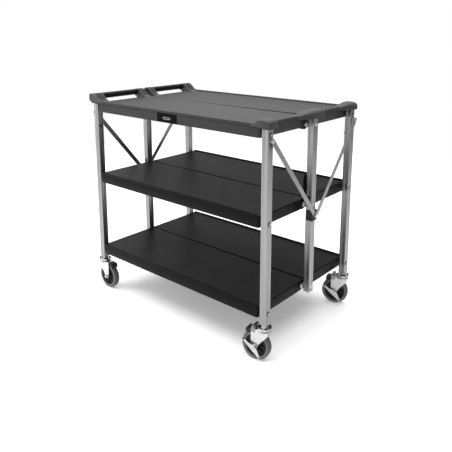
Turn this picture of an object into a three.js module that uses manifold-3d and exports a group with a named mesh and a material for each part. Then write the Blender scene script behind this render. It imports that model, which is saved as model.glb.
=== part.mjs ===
// Folding three-shelf service cart on swivel casters.
// Millimetres, +Z up, +X towards the plain front end, -X towards the push handle at the rear.
// Someone pushing it has -Y on the right and +Y on the left. The floor is Z = 0.
// The shelves are split along Y = 0. The centre legs rise and the sides close when it folds.

import * as THREE from 'three';
import { mergeVertices } from 'three/addons/utils/BufferGeometryUtils.js';
import Module from 'manifold-3d';

const wasm = await Module();
wasm.setup();

// ---------- driving dimensions ----------

const GAP = 0.5; // running gap between neighbouring solids

// corner and centre legs, measured from the middle of the four corner legs
const LEG_OUTER_X = 545;
const LEG_OUTER_Y = 337;
const LEG = { x: 33, y: 31, bottom: 162, top: 975 };
const CENTRE_LEG = { x: 31, y: 33, bottom: 187, top: 976 };
const LEG_CHAMFER = 2;

// shelves
const SHELF_HALF_LENGTH = 507;
const SHELF_HALF_WIDTH = 343;
const SHELF_HEIGHT = 54;
const RIM_HEIGHT = 7; // the lip along the long sides, and along the top shelf's front end
const RIM_WIDTH = 10;
const BEAD = { height: 12, proud: 2 };
const WALL = 4;
const SEAM = 0.6; // from Y = 0 to each half
const CORNER_RADIUS = 14;
const LEVELS = {
  top: { crest: 993, pivot: 953 },
  middle: { crest: 630, pivot: 597 },
  bottom: { crest: 244, pivot: 214 },
};

// pivots of the shelf halves
const OUTER_PIVOT_Y = LEG_OUTER_Y - LEG.y / 2;
const INNER_PIVOT_Y = 25;
const PIN_RADIUS = 5;
const PIN_HOLE_RADIUS = 5.9;

// raised ends of the top shelf
const MOUND = { reach: 556, inner: 494, top: 1012, bottom: 977, cornerWidth: 78, centreWidth: 74 };
const HOOD_ROOF = 984;
const HANDLE = { reach: 568, root: 474, top: 1026, bottom: 987, outerArm: 58, bar: 28 };
const ARM_SUNK = 3.5; // how deep an arm's foot is sunk into the deck
const INNER_ARM = { near: 17, far: 53 }; // how far its two sides stand from the seam
const ARM_LINK = { thickness: 20, top: 1022 }; // joins an inner arm to the seam, behind the hollow
const TOP_SIDE_Y = 346; // outer face of the mounds and handle arms

// braces and collars
const BRACE = { width: 22, thickness: 3, topZ: 930, bottomZ: 549 };
const BRACE_PLANES = { right: 553.8, left: 557.3 };
const COLLAR = { bottom: 526, top: 572, halfY: 22.5, innerX: 519, outerX: 553 };

// casters
const WHEEL = { radius: 63.5, width: 30, hubRadius: 49, trail: 35 };
const CASTER_YAW = { front_right: 190, front_left: 200, rear_right: 0, rear_left: 8 };
const FORK = { cheekInner: 18.5, cheekThickness: 3.5, crownTop: 139.4, crownBottom: 130, trailing: 53 };
const BRAKE_EAR = { x: 43, z: 146, radius: 11 };
const FLANGE = { bottom: 147.4, top: 151.4, radius: 30, boltX: 18, boltY: 17 };

// ---------- materials ----------

function material(color, roughness, metalness) {
  return new THREE.MeshStandardMaterial({ color, roughness, metalness, flatShading: true });
}

const aluminium = material(0xb9bcbe, 0.4, 0.9);
const brace_metal = material(0x8f9294, 0.45, 0.85);
const zinc = material(0xd5d7d8, 0.35, 0.9);
const black_plastic = material(0x2a2b2c, 0.55, 0.0);
const grip_plastic = material(0x1f2021, 0.5, 0.0);
const hub_plastic = material(0x27282a, 0.5, 0.0);
const tyre_rubber = material(0x6a6c6e, 0.7, 0.0);

// ---------- geometry helpers ----------

function bare(geometry) {
  const copy = geometry.clone();
  copy.deleteAttribute('normal');
  copy.deleteAttribute('uv');
  return mergeVertices(copy, 1e-4);
}

function signedVolume(geometry) {
  const p = geometry.attributes.position;
  const index = geometry.index;
  const [a, b, c] = [new THREE.Vector3(), new THREE.Vector3(), new THREE.Vector3()];
  let total = 0;
  for (let i = 0; i < index.count; i += 3) {
    a.fromBufferAttribute(p, index.getX(i));
    b.fromBufferAttribute(p, index.getX(i + 1));
    c.fromBufferAttribute(p, index.getX(i + 2));
    total += a.dot(b.cross(c));
  }
  return total;
}

function facingOut(geometry) {
  const solid = bare(geometry);
  if (signedVolume(solid) > 0) return solid;
  const index = solid.index;
  for (let i = 0; i < index.count; i += 3) {
    const second = index.getX(i + 1);
    index.setX(i + 1, index.getX(i + 2));
    index.setX(i + 2, second);
  }
  return solid;
}

function toManifold(geometry) {
  const solid = facingOut(geometry);
  const vertProperties = new Float32Array(solid.attributes.position.array);
  const triVerts = new Uint32Array(solid.index.array);
  return new wasm.Manifold(new wasm.Mesh({ numProp: 3, vertProperties, triVerts }));
}

function fromManifold(manifold) {
  const mesh = manifold.getMesh();
  const geometry = new THREE.BufferGeometry();
  const positions = new THREE.BufferAttribute(new Float32Array(mesh.vertProperties), 3);
  geometry.setAttribute('position', positions);
  geometry.setIndex(new THREE.BufferAttribute(new Uint32Array(mesh.triVerts), 1));
  return geometry;
}

function join(...geometries) {
  return fromManifold(geometries.map(toManifold).reduce((sum, next) => sum.add(next)));
}

function cut(base, ...tools) {
  return fromManifold(tools.map(toManifold).reduce((left, tool) => left.subtract(tool), toManifold(base)));
}

function mirror(geometry, sx, sy) {
  return facingOut(bare(geometry).scale(sx, sy, 1));
}

function box(x0, x1, y0, y1, z0, z1) {
  const geometry = new THREE.BoxGeometry(x1 - x0, y1 - y0, z1 - z0);
  return geometry.translate((x0 + x1) / 2, (y0 + y1) / 2, (z0 + z1) / 2);
}

// a cylinder along X, Y or Z, from one coordinate to another, centred on the two others
function rod(axis, radius, from, to, u, v, sides = 12) {
  const geometry = new THREE.CylinderGeometry(radius, radius, to - from, sides);
  const middle = (from + to) / 2;
  if (axis === 'x') return geometry.rotateZ(Math.PI / 2).translate(middle, u, v);
  if (axis === 'y') return geometry.translate(u, middle, v);
  return geometry.rotateX(Math.PI / 2).translate(u, v, middle);
}

// the outline of a rectangle with one radius per corner, drawn in by inset
function rectanglePoints({ x0, x1, y0, y1, radii }, inset, steps = 3) {
  const corners = [[x1, y0, -90], [x1, y1, 0], [x0, y1, 90], [x0, y0, 180]];
  return corners.flatMap(([x, y, start], i) => {
    const radius = Math.max(radii[i] - inset, 0.4);
    const cx = x - Math.sign(x - x0 || -1) * (inset + radius);
    const cy = y - Math.sign(y - y0 || -1) * (inset + radius);
    return Array.from({ length: steps + 1 }, (_, k) => {
      const angle = THREE.MathUtils.degToRad(start + (90 * k) / steps);
      return [cx + radius * Math.cos(angle), cy + radius * Math.sin(angle)];
    });
  });
}

// a solid of stacked rounded rectangles; profile rows are [height, inset]
function slab(plan, profile) {
  const rings = profile.map(([z, inset]) => rectanglePoints(plan, inset).map(([x, y]) => [x, y, z]));
  const count = rings[0].length;
  const index = [];
  for (let r = 0; r + 1 < rings.length; r += 1) {
    for (let i = 0; i < count; i += 1) {
      const [a, b] = [r * count + i, r * count + ((i + 1) % count)];
      index.push(a, b, b + count, a, b + count, a + count);
    }
  }
  const last = (rings.length - 1) * count;
  for (let i = 1; i + 1 < count; i += 1) {
    index.push(0, i + 1, i);
    index.push(last, last + i, last + i + 1);
  }
  const geometry = new THREE.BufferGeometry();
  geometry.setAttribute('position', new THREE.Float32BufferAttribute(rings.flat(2), 3));
  geometry.setIndex(index);
  return geometry;
}

// an outline drawn in the XZ plane, given thickness from y0 to y1
function plateAcrossY(shape, y0, y1, bevel = 0, steps = 6) {
  const geometry = new THREE.ExtrudeGeometry(shape, {
    depth: y1 - y0 - 2 * bevel,
    bevelEnabled: bevel > 0,
    bevelThickness: bevel,
    bevelSize: bevel,
    bevelOffset: -bevel,
    bevelSegments: 1,
    curveSegments: steps,
  });
  return geometry.rotateX(Math.PI / 2).translate(0, y1 - bevel, 0);
}

// an outline drawn in the YZ plane, given thickness from x0 to x1
function plateAcrossX(shape, x0, x1, steps = 6) {
  const options = { depth: x1 - x0, bevelEnabled: false, curveSegments: steps };
  const geometry = new THREE.ExtrudeGeometry(shape, options);
  return geometry.rotateX(Math.PI / 2).rotateZ(Math.PI / 2).translate(x0, 0, 0);
}

// ---------- legs ----------

function legSection(width, depth) {
  const shape = new THREE.Shape();
  const [w, d] = [width / 2, depth / 2];
  const corners = [[w, d, -1, 1], [-w, d, 1, 1], [-w, -d, 1, -1], [w, -d, -1, -1]];
  corners.forEach(([u, v, inU, outV], i) => {
    const alongSide = [u, v - outV * LEG_CHAMFER];
    const alongEnd = [u + inU * LEG_CHAMFER, v];
    const pair = i % 2 === 0 ? [alongSide, alongEnd] : [alongEnd, alongSide];
    if (i === 0) shape.moveTo(...pair[0]);
    else shape.lineTo(...pair[0]);
    shape.lineTo(...pair[1]);
  });
  return shape;
}

function extrusion(size, x, y) {
  const options = { depth: size.top - size.bottom, bevelEnabled: false };
  const geometry = new THREE.ExtrudeGeometry(legSection(size.x, size.y), options);
  return geometry.translate(x, y, size.bottom);
}

// a pivot pin from a face through a shelf's end wall
function shelfPin(y, z, face) {
  return rod('x', PIN_RADIUS, SHELF_HALF_LENGTH - BEAD.proud - WALL - 6, face + 1, y, z, 8);
}

function cornerLeg() {
  const x = LEG_OUTER_X - LEG.x / 2;
  const y = -OUTER_PIVOT_Y;
  const innerFace = LEG_OUTER_X - LEG.x;
  const pieces = [extrusion(LEG, x, y)];
  for (const { pivot } of Object.values(LEVELS)) {
    pieces.push(rod('x', 8, LEG_OUTER_X - 3, LEG_OUTER_X + 4.5, y, pivot, 6));
    pieces.push(rod('x', 9, SHELF_HALF_LENGTH + GAP, innerFace + 3, y, pivot, 8));
    pieces.push(shelfPin(y, pivot, innerFace));
  }
  return join(...pieces);
}

function centreLeg() {
  const x = LEG_OUTER_X - CENTRE_LEG.x / 2;
  const latch = box(x - 9, x + 8, -CENTRE_LEG.y / 2 - 1, -CENTRE_LEG.y / 2 + 6, 618, 636);
  const heads = Object.values(LEVELS).map(({ pivot }) =>
    rod('x', 7, LEG_OUTER_X - 3, LEG_OUTER_X + 3.5, 0, pivot, 8));
  return cut(join(extrusion(CENTRE_LEG, x, 0), ...heads), latch);
}

// the plate behind a centre leg that carries the inner pins of both shelf halves of one level
function hingePlate({ pivot }) {
  const inner = SHELF_HALF_LENGTH + 1.5;
  const outer = LEG_OUTER_X - CENTRE_LEG.x - GAP;
  const shape = new THREE.Shape();
  shape.absarc(INNER_PIVOT_Y, pivot, 13, -Math.PI / 2, Math.PI / 2, false);
  shape.absarc(-INNER_PIVOT_Y, pivot, 13, Math.PI / 2, (3 * Math.PI) / 2, false);
  const pins = [-INNER_PIVOT_Y, INNER_PIVOT_Y].map((y) => shelfPin(y, pivot, inner));
  const domes = [-INNER_PIVOT_Y, INNER_PIVOT_Y].map((y) => rod('x', 7, outer - 1, outer + 3, y, pivot, 8));
  return join(plateAcrossX(shape, inner, outer, 3), ...pins, ...domes);
}

function pullTab() {
  const inner = SHELF_HALF_LENGTH + GAP + 0.5;
  const outer = LEG_OUTER_X - CENTRE_LEG.x - GAP;
  const plan = { x0: 641, x1: 731, y0: -30, y1: 30, radii: [4, 14, 14, 4] };
  const slot = { x0: 704, x1: 718, y0: -14, y1: 14, radii: [6, 6, 6, 6] };
  const plate = slab(plan, [[inner, 1], [inner + 1, 0], [outer - 1, 0], [outer, 1]]);
  const hole = slab(slot, [[inner - 2, 0], [outer + 2, 0]]);
  return cut(plate, hole).rotateY(-Math.PI / 2).scale(-1, 1, 1);
}

function stopKnob() {
  const face = LEG_OUTER_X - LEG.x;
  const rows = [[0, 0], [5.5, 0], [5.5, 5], [3.6, 8.6], [0, 8.6]];
  const profile = rows.map(([r, h]) => new THREE.Vector2(r, h));
  const knob = new THREE.LatheGeometry(profile, 10).rotateZ(Math.PI / 2);
  return knob.translate(face - GAP, -OUTER_PIVOT_Y, 863);
}

// ---------- shelves ----------

// what is cut from the lower inner corner so that the two halves turn clear of each other
function seamRelief(pivot, bottom) {
  const radius = INNER_PIVOT_Y - SEAM;
  const shape = new THREE.Shape();
  shape.absarc(-INNER_PIVOT_Y, pivot, radius, 0, -Math.PI / 2, true);
  shape.lineTo(-INNER_PIVOT_Y, bottom - 30);
  shape.lineTo(10, bottom - 30);
  shape.lineTo(10, pivot);
  return plateAcrossX(shape, -SHELF_HALF_LENGTH - 5, SHELF_HALF_LENGTH + 5, 5);
}

function shelfHalf({ crest, pivot }, frontRim = 0) {
  const bottom = crest - SHELF_HEIGHT;
  const floor = crest - RIM_HEIGHT;
  const [length, width] = [SHELF_HALF_LENGTH, SHELF_HALF_WIDTH];
  const radii = [CORNER_RADIUS, 3, 3, CORNER_RADIUS];
  const plan = { x0: -length, x1: length, y0: -width, y1: -SEAM, radii };
  const shell = slab(plan, [
    [bottom, BEAD.proud], [crest - BEAD.height - 2, BEAD.proud], [crest - BEAD.height, 0],
    [crest - 4, 0], [crest - 1.2, 1.4], [crest, 4],
  ]);
  const skin = BEAD.proud + WALL;
  const [pocketEnd, pocketSide] = [length - skin, width - skin];
  const [pocketInner, pocketRadii] = [-SEAM - skin, [9, 3, 3, 9]];
  const pocketPlan = { x0: -pocketEnd, x1: pocketEnd, y0: -pocketSide, y1: pocketInner, radii: pocketRadii };
  const pocket = slab(pocketPlan, [[bottom - 5, 0], [floor - WALL, 0]]);
  const past = length + 20;
  const trayEnd = frontRim > 0 ? length - frontRim : past;
  const trayPlan = { x0: -past, x1: trayEnd, y0: RIM_WIDTH - width, y1: 20, radii: [8, 3, 3, 8] };
  const tray = slab(trayPlan, [[floor, 3], [floor + 3, 0], [crest + 3, 0]]);
  const holes = [-1, 1].flatMap((end) => [OUTER_PIVOT_Y, INNER_PIVOT_Y].map((y) => {
    const [from, to] = [end * (pocketEnd - 3), end * (length + 3)].sort((a, b) => a - b);
    return rod('x', PIN_HOLE_RADIUS, from, to, -y, pivot);
  }));
  return cut(shell, pocket, tray, seamRelief(pivot, bottom), ...holes);
}

// a raised mound on the front end of the top shelf, hooded over a leg
function mound(y0, y1, radii) {
  const { inner, reach, top, bottom } = MOUND;
  const body = slab({ x0: inner, x1: reach, y0, y1, radii }, [
    [bottom, 0], [top - 10, 0], [top - 3.5, 2.5], [top, 9],
  ]);
  const shelfEnd = SHELF_HALF_LENGTH - BEAD.proud;
  const besideLeg = y0 === -TOP_SIDE_Y ? y0 + 6 : y0 - 5;
  return cut(body, box(shelfEnd, reach - 7, besideLeg, y1 + 5, bottom - 5, HOOD_ROOF));
}

// one gooseneck arm of the push handle at the rear end of the top shelf
function handleArm(y0, y1) {
  const { reach, top, bottom } = HANDLE;
  const root = -HANDLE.root;
  const crest = LEVELS.top.crest;
  const shape = new THREE.Shape();
  shape.moveTo(-reach + 6, bottom);
  shape.lineTo(-reach, bottom + 6);
  shape.lineTo(-reach, top - 9);
  shape.quadraticCurveTo(-reach, top, -reach + 9, top);
  shape.lineTo(-reach + 24, top);
  shape.bezierCurveTo(-reach + 46, top, -reach + 50, crest, root, crest - 3);
  shape.lineTo(root, crest - RIM_HEIGHT - ARM_SUNK);
  shape.lineTo(-SHELF_HALF_LENGTH + 3, crest - RIM_HEIGHT - ARM_SUNK);
  return plateAcrossY(shape, y0, y1, 1.5, 5);
}

function topShelfHalf() {
  const [outer, inner] = [-TOP_SIDE_Y, -SEAM];
  const linkBack = -HANDLE.reach + 1;
  const link = box(linkBack, linkBack + ARM_LINK.thickness, -INNER_ARM.near - 3, inner, HANDLE.bottom + 3,
    ARM_LINK.top);
  const shelfEnd = -SHELF_HALF_LENGTH + BEAD.proud;
  const hood = box(-LEG_OUTER_X - 3, shelfEnd, outer, outer + 5, MOUND.bottom, HANDLE.bottom + 6);
  return join(
    shelfHalf(LEVELS.top, RIM_WIDTH),
    mound(outer, outer + MOUND.cornerWidth, [12, 6, 2, 6]),
    mound(inner - MOUND.centreWidth, inner, [6, 6, 2, 2]),
    handleArm(outer, outer + HANDLE.outerArm),
    handleArm(-INNER_ARM.far, -INNER_ARM.near),
    link,
    hood,
  );
}

function handleGrip() {
  const y0 = -TOP_SIDE_Y + HANDLE.outerArm + 0.4;
  const y1 = -INNER_ARM.far - 0.4;
  const [x0, x1] = [-HANDLE.reach + 1, -HANDLE.reach + 1 + HANDLE.bar];
  const [z0, z1] = [HANDLE.bottom + 8, HANDLE.top - 1];
  const plan = { x0, x1, y0: z0, y1: z1, radii: [11, 11, 11, 11] };
  const bar = slab(plan, [[-y1, 0], [-y0, 0]]);
  return bar.rotateX(Math.PI / 2);
}

function badgePlate() {
  const y = -SHELF_HALF_WIDTH + BEAD.proud - 0.3;
  const plan = { x0: -69, x1: 54, y0: 941, y1: 977, radii: [3, 8, 8, 3] };
  return slab(plan, [[-y, 0], [-y + 1.2, 0], [-y + 1.8, 0.8]]).rotateX(Math.PI / 2);
}

// ---------- braces and collars ----------

// a flat bar from the outer face of a corner leg to the collar, with its rivets
function brace(plane, sideSign) {
  const from = new THREE.Vector2(sideSign * OUTER_PIVOT_Y, BRACE.topZ);
  const to = new THREE.Vector2(0, BRACE.bottomZ);
  const along = to.clone().sub(from).normalize();
  const turn = Math.atan2(along.y, along.x);
  const radius = BRACE.width / 2;
  const shape = new THREE.Shape();
  shape.absarc(from.x, from.y, radius, turn + Math.PI / 2, turn + (3 * Math.PI) / 2, false);
  shape.absarc(to.x, to.y, radius, turn - Math.PI / 2, turn + Math.PI / 2, false);
  const outerFace = plane + BRACE.thickness;
  const pieces = [
    plateAcrossX(shape, plane, outerFace, 4),
    rod('x', 7, LEG_OUTER_X + GAP, plane + 1, from.x, from.y, 8),
    rod('x', 6.5, outerFace - 1, outerFace + 2.4, from.x, from.y, 8),
  ];
  if (plane === BRACE_PLANES.left) {
    pieces.push(rod('x', 7.5, outerFace - 1, outerFace + 2.4, to.x, to.y, 8));
  }
  return join(...pieces);
}

function collar() {
  const { bottom, top, halfY, innerX, outerX } = COLLAR;
  const body = slab({ x0: innerX, x1: outerX, y0: -halfY, y1: halfY, radii: [6, 6, 2, 2] }, [
    [bottom, 1.5], [bottom + 2, 0], [top - 2, 0], [top, 1.5],
  ]);
  const bore = box(innerX - 5, LEG_OUTER_X + GAP + 3.2, -17, 17, bottom - 5, top + 5);
  return cut(body, bore);
}

// ---------- casters, modelled with the swivel axis on Z and the wheel trailing towards +X ----------

// the flange with its four bolts, the plug up into the leg, the ball race and the kingpin
function casterMount() {
  const { bottom, top, radius, boltX, boltY } = FLANGE;
  const flange = rod('z', radius, bottom, top, 0, 0, 16);
  const plug = box(-12, 12, -11, 11, top - 1, LEG.bottom - 0.4);
  const rows = [[0, 140], [26, 140], [28.5, 143], [28.5, 145], [24, bottom + 0.6], [0, bottom + 0.6]];
  const profile = rows.map(([r, z]) => new THREE.Vector2(r, z));
  const race = new THREE.LatheGeometry(profile, 14).rotateX(Math.PI / 2);
  const kingpin = rod('z', 5, FORK.crownBottom - 4, 141, 0, 0, 8);
  const nut = rod('z', 9, FORK.crownBottom - 6, FORK.crownBottom - GAP, 0, 0, 6);
  const spots = [[-boltX, -boltY], [-boltX, boltY], [boltX, -boltY], [boltX, boltY]];
  const bolts = spots.map(([x, y]) => rod('z', 4.2, top - 1, top + 6, x, y, 6));
  return join(flange, plug, race, kingpin, nut, ...bolts);
}

// cheeks with an upright trailing edge; a braked fork has ears over it that hold the brake's pin
function casterFork(braked) {
  const { trail, radius } = WHEEL;
  const { crownTop, crownBottom, cheekInner, cheekThickness, trailing } = FORK;
  const crown = rod('z', 29, crownBottom, crownTop, 0, 0, 14);
  const shoulder = crownTop - 3;
  const shape = new THREE.Shape();
  shape.moveTo(-27, shoulder);
  shape.lineTo(-25, 122);
  shape.bezierCurveTo(-16, 100, trail - 22, 80, trail - 12, radius - 2);
  shape.absarc(trail, radius, 12, Math.PI, 2 * Math.PI, false);
  shape.bezierCurveTo(trail + 14, 74, trailing, 80, trailing, 96);
  if (braked) {
    shape.absarc(BRAKE_EAR.x, BRAKE_EAR.z, BRAKE_EAR.radius - 1, 0, Math.PI, false);
    shape.lineTo(BRAKE_EAR.x - BRAKE_EAR.radius + 1, shoulder);
  } else {
    shape.lineTo(trailing, shoulder - 4);
    shape.lineTo(trailing - 4, shoulder);
  }
  const cheeks = [-1, 1].map((side) => {
    const [a, b] = [side * cheekInner, side * (cheekInner + cheekThickness)];
    return plateAcrossY(shape, Math.min(a, b), Math.max(a, b), 0, 3);
  });
  const bridge = box(-22, trailing - 5, -cheekInner - 1, cheekInner + 1, crownBottom, shoulder);
  const kingpinHole = rod('z', 6.4, crownBottom - 5, crownTop + 5, 0, 0, 8);
  const axleHole = rod('y', 6.4, -40, 40, trail, radius, 8);
  const pins = braked ? [rod('y', 4.5, -cheekInner - 1, cheekInner + 1, BRAKE_EAR.x, BRAKE_EAR.z, 8)] : [];
  return cut(join(crown, bridge, ...cheeks, ...pins), kingpinHole, axleHole);
}

function casterAxle() {
  const { trail, radius } = WHEEL;
  const face = FORK.cheekInner + FORK.cheekThickness + GAP;
  return join(
    rod('y', 5.5, -face - 4, face + 4, trail, radius, 10),
    rod('y', 9, -face - 9, -face - 3.6, trail, radius, 6),
    rod('y', 9, face, face + 5.5, trail, radius, 6),
  );
}

function wheelLathe(rows, segments) {
  const points = [...rows, rows[0]].map(([r, y]) => new THREE.Vector2(r, y));
  return new THREE.LatheGeometry(points, segments).translate(WHEEL.trail, 0, WHEEL.radius);
}

function tyre() {
  const [inner, outer, half] = [WHEEL.hubRadius + 0.4, WHEEL.radius, WHEEL.width / 2];
  const rows = [
    [inner, -half + 2], [outer - 5, -half], [outer, -half + 7],
    [outer, half - 7], [outer - 5, half], [inner, half - 2],
  ];
  return wheelLathe(rows, 26);
}

function hub() {
  const [outer, half] = [WHEEL.hubRadius, WHEEL.width / 2];
  const rows = [
    [6.4, -half - 2], [14, -half - 2], [16, -half + 6], [outer, -half + 3],
    [outer, half - 3], [16, half - 6], [14, half + 2], [6.4, half + 2],
  ];
  return wheelLathe(rows, 18);
}

// the black thread guard that rides on the fork behind the crown, over the wheel
function casterGuard() {
  const { trail, radius } = WHEEL;
  const [start, end] = [THREE.MathUtils.degToRad(48), THREE.MathUtils.degToRad(76)];
  const [front, back] = [FORK.trailing - 2, trail + 45];
  const top = FORK.crownTop - 2;
  const shape = new THREE.Shape();
  shape.absarc(trail, radius, radius + 3.5, end, start, true);
  shape.lineTo(back, top - 8);
  shape.lineTo(back - 5, top);
  shape.lineTo(front, top);
  return plateAcrossY(shape, -FORK.cheekInner + GAP, FORK.cheekInner - GAP, 0, 5);
}

// a curved rocker beside the fork: the upper foot tab locks the wheel, the lower one lets it go
function brakePedal() {
  const { trail, radius } = WHEEL;
  const inner = FORK.cheekInner + FORK.cheekThickness + GAP + 9.6;
  const at = (x, z) => [trail + x, radius + z];
  const shape = new THREE.Shape();
  shape.moveTo(...at(50, 27));
  shape.lineTo(...at(48, 31));
  shape.lineTo(...at(41, 30));
  shape.quadraticCurveTo(...at(24, 14), ...at(6, 11));
  shape.quadraticCurveTo(...at(-16, 7), ...at(-23, -20));
  shape.lineTo(...at(-32, -34));
  shape.lineTo(...at(-30, -40));
  shape.lineTo(...at(-22, -40));
  shape.quadraticCurveTo(...at(5, -13), ...at(50, 27));
  const plate = plateAcrossY(shape, inner, inner + 3, 0, 5);
  const lockTab = box(trail + 39, trail + 50, inner, inner + 13, radius + 27.5, radius + 31);
  const freeTab = box(trail - 32, trail - 22, inner, inner + 11, radius - 40, radius - 36.5);
  const stub = rod('y', 7, inner - 3.8, inner + 1, trail, radius, 8);
  return join(plate, lockTab, freeTab, stub);
}

// ---------- assembly ----------

const cart = new THREE.Group();

function place(name, geometry, look, parent = cart) {
  const mesh = new THREE.Mesh(facingOut(geometry), look);
  mesh.name = name;
  parent.add(mesh);
}

const SIDES = { right: 1, left: -1 };
const ENDS = { front: 1, rear: -1 };

const shelves = {
  top: topShelfHalf(),
  middle: shelfHalf(LEVELS.middle),
  bottom: shelfHalf(LEVELS.bottom),
};
const [legSolid, knobSolid, gripSolid] = [cornerLeg(), stopKnob(), handleGrip()];
const [centreLegSolid, collarSolid] = [centreLeg(), collar()];

for (const [side, sy] of Object.entries(SIDES)) {
  for (const [level, solid] of Object.entries(shelves)) {
    place(`${level}_shelf_${side}`, mirror(solid, 1, sy), black_plastic);
  }
  place(`handle_grip_${side}`, mirror(gripSolid, 1, sy), grip_plastic);
  for (const [end, sx] of Object.entries(ENDS)) {
    place(`leg_${end}_${side}`, mirror(legSolid, sx, sy), aluminium);
    place(`stop_knob_${end}_${side}`, mirror(knobSolid, sx, sy), black_plastic);
    place(`brace_${end}_${side}`, mirror(brace(BRACE_PLANES[side], -sy), sx, 1), brace_metal);
  }
}

for (const [end, sx] of Object.entries(ENDS)) {
  place(`centre_leg_${end}`, mirror(centreLegSolid, sx, 1), aluminium);
  place(`collar_${end}`, mirror(collarSolid, sx, 1), black_plastic);
  for (const [level, heights] of Object.entries(LEVELS)) {
    place(`hinge_plate_${level}_${end}`, mirror(hingePlate(heights), sx, 1), zinc);
  }
}

place('pull_tab_front', pullTab(), black_plastic);
place('badge_plate', badgePlate(), grip_plastic);

const casterPieces = [
  ['mount', casterMount(), zinc],
  ['axle', casterAxle(), zinc],
  ['tyre', tyre(), tyre_rubber],
  ['hub', hub(), hub_plastic],
  ['guard', casterGuard(), hub_plastic],
];
const pedal = brakePedal();
const forks = { front: casterFork(true), rear: casterFork(false) };

for (const [end, sx] of Object.entries(ENDS)) {
  for (const [side, sy] of Object.entries(SIDES)) {
    const corner = `${end}_${side}`;
    const caster = new THREE.Group();
    caster.position.set(sx * (LEG_OUTER_X - LEG.x / 2), -sy * OUTER_PIVOT_Y, 0);
    const swivel = new THREE.Group();
    swivel.rotation.z = THREE.MathUtils.degToRad(CASTER_YAW[corner]);
    caster.add(swivel);
    cart.add(caster);
    for (const [piece, solid, look] of casterPieces) {
      place(`caster_${piece}_${corner}`, solid, look, piece === 'mount' ? caster : swivel);
    }
    place(`caster_fork_${corner}`, forks[end], zinc, swivel);
    if (end === 'front') place(`brake_pedal_${corner}`, pedal, zinc, swivel);
  }
}

// the origin is the centre of the bounding box on the floor
cart.updateMatrixWorld(true);
const bounds = new THREE.Box3().setFromObject(cart, true);
cart.position.set(-(bounds.min.x + bounds.max.x) / 2, -(bounds.min.y + bounds.max.y) / 2, 0);

export default cart;
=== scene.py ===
"""Folding three-shelf service cart: the looks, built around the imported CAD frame.

Shapes are drawn in millimetres measured from the middle of the four corner legs, with the
floor at zero. Shape.piece() moves them to the shared frame and turns them into metres.
"""

import math

import bmesh
import bpy
from mathutils import Matrix, Vector


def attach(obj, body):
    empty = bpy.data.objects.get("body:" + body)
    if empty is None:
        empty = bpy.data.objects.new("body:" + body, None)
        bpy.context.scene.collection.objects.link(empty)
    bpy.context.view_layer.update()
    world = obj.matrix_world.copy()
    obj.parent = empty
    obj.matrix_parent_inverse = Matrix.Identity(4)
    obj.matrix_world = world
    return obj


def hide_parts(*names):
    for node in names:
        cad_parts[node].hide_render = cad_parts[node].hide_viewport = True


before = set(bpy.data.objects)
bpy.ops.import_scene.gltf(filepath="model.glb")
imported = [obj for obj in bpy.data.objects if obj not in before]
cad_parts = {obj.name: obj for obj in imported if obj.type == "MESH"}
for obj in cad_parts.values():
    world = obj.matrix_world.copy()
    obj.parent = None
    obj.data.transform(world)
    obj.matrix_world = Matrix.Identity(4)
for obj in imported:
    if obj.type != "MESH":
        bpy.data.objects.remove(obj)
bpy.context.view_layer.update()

# where the middle of the four legs lies in the shared frame
SHIFT = Vector((2.65, 12.7458, 0.0))
MM_PER_METRE = 1000
ENDS = {"front": 1, "rear": -1}
SIDES = {"right": -1, "left": 1}

# ---------- camera ----------

# degrees below the horizon, and degrees round from +Y towards -X
TILT, HEADING = 11.358, 40.783

lens = bpy.data.cameras.new("camera")
lens.lens = 44.04
lens.sensor_width = 36.0
lens.shift_y = -0.2
camera = bpy.data.objects.new("camera", lens)
camera.location = (1.7602, -1.9759, 1.3647)
camera.rotation_euler = (math.radians(90 - TILT), 0.0, math.radians(HEADING))
bpy.context.collection.objects.link(camera)
bpy.context.scene.camera = camera

# ---------- materials ----------


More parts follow.
